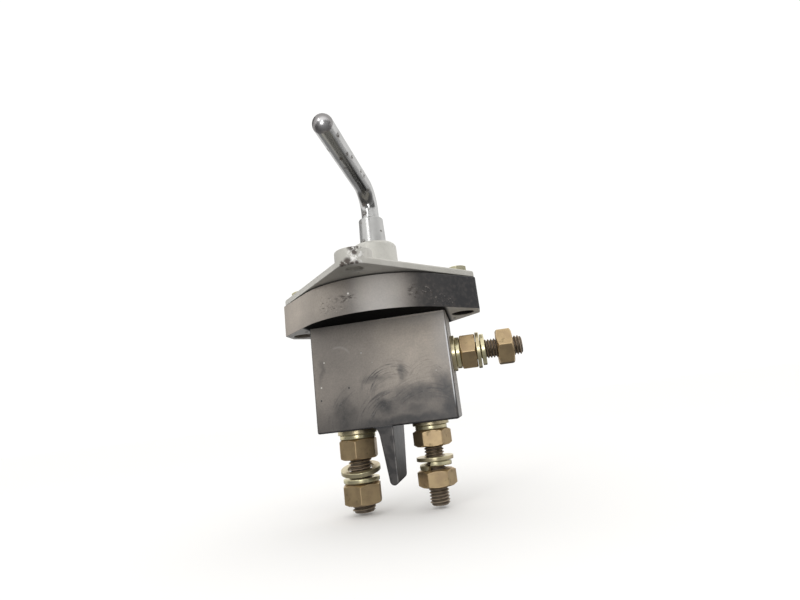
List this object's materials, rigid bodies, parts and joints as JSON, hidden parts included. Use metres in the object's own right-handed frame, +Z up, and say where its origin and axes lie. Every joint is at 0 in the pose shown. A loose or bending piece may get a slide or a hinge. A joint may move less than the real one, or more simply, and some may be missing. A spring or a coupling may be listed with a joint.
{
  "type": "battery switch",
  "caption": "Lever-operated battery isolator: a black box-shaped housing with threaded terminal studs under a cast mounting cover with a turning cranked lever.",
  "frame": {"origin": "on the lever shaft's axis, in the plane of the cover's two raised mounting pads, which sits against the back of a panel", "axes": "+Z up along the shaft, out of the cover towards the lever; -Y towards the side the lever's arm points to at rest; +X towards the side terminal"},
  "size_m": [0.1243, 0.1313, 0.1806],
  "materials": {
    "phenolic": "moulded dark brown-black phenolic, glossy with handling haze",
    "cast_cover": "matte light grey casting, machined pads, some dark corrosion",
    "gasket": "thin oiled gasket sheet",
    "zinc_bolt": "yellow-passivated zinc plate",
    "lever_steel": "bright plated steel with small rust pits",
    "hub_steel": "turned, satin",
    "steel": "machined",
    "spring_steel": "drawn spring wire",
    "bronze": "turned bearing bronze",
    "rubber": "black lip seal",
    "satin_steel": "stamped plate",
    "insulator": "brown moulded insulator",
    "copper": "bright copper bar",
    "silver": "silver contact metal",
    "zinc_nut": "bronze-yellow passivated zinc plate",
    "zinc_washer": "bright yellow passivated zinc plate",
    "stud_steel": "dark yellow-brown plated thread"
  },
  "bodies": {
    "housing_body": {"housing": "phenolic", "cover_plate": "cast_cover", "cover_gasket": "gasket", "cover_bolt_left": "zinc_bolt", "cover_bolt_right": "zinc_bolt", "cover_nut_left": "zinc_bolt", "cover_nut_right": "zinc_bolt", "shaft_bush": "bronze", "shaft_seal": "rubber", "detent_plate": "satin_steel", "fixed_contact_left": "copper", "fixed_contact_right": "copper", "fixed_contact_tip_left": "silver", "fixed_contact_tip_right": "silver", "side_bus_strip": "copper", "return_spring_front": "spring_steel", "return_spring_back": "spring_steel", "stud_left": "stud_steel", "flat_washer_left": "zinc_washer", "spring_washer_left": "zinc_washer", "clamp_nut_left": "zinc_nut", "loose_flat_washer_left": "zinc_washer", "loose_spring_washer_left": "zinc_washer", "loose_nut_left": "zinc_nut", "stud_right": "stud_steel", "flat_washer_right": "zinc_washer", "spring_washer_right": "zinc_washer", "clamp_nut_right": "zinc_nut", "loose_flat_washer_right": "zinc_washer", "loose_spring_washer_right": "zinc_washer", "loose_nut_right": "zinc_nut", "stud_side": "stud_steel", "flat_washer_side": "zinc_washer", "spring_washer_side": "zinc_washer", "clamp_nut_side": "zinc_nut", "loose_flat_washer_side": "zinc_washer", "loose_spring_washer_side": "zinc_washer", "loose_nut_side": "zinc_nut"},
    "lever": {"lever_rod": "lever_steel", "lever_hub": "hub_steel", "hub_pin": "steel", "shaft": "steel", "retaining_ring": "spring_steel", "cam_drum": "steel", "cam_pin": "steel", "detent_spring": "spring_steel"},
    "detent": {"detent_ball": "steel"},
    "carriage": {"contact_carriage": "insulator", "bridge_stem": "steel", "bridge_stem_nut": "zinc_nut", "contact_spring": "spring_steel"},
    "bridge": {"contact_bridge": "copper", "bridge_contact_tip_left": "silver", "bridge_contact_tip_right": "silver"}
  },
  "joints": [
    {"name": "lever_turn", "type": "hinge", "parent": "housing_body", "child": "lever", "pos_m": [0, 0, 0], "axis": [0, 0, 1], "range_deg": [0, 90]},
    {"name": "detent_ball_slide", "type": "slide", "parent": "lever", "child": "detent", "axis": [0, 0, 1], "range_m": [0, 0.001], "stiffness_N_per_m": 600, "deforming": ["detent_spring"]},
    {"name": "carriage_slide", "type": "slide", "parent": "housing_body", "child": "carriage", "axis": [0, 0, -1], "range_m": [0, 0.0054], "deforming": ["return_spring_front", "return_spring_back"]},
    {"name": "bridge_overtravel", "type": "slide", "parent": "carriage", "child": "bridge", "axis": [0, 0, 1], "range_m": [0, 0.001], "deforming": ["contact_spring"]}
  ],
  "couplings": [
    {"joint": "carriage_slide", "follows": "lever_turn", "m_per_rad": 0.003437},
    {"joint": "bridge_overtravel", "follows": "lever_turn", "m_per_rad": 0.0006366}
  ]
}
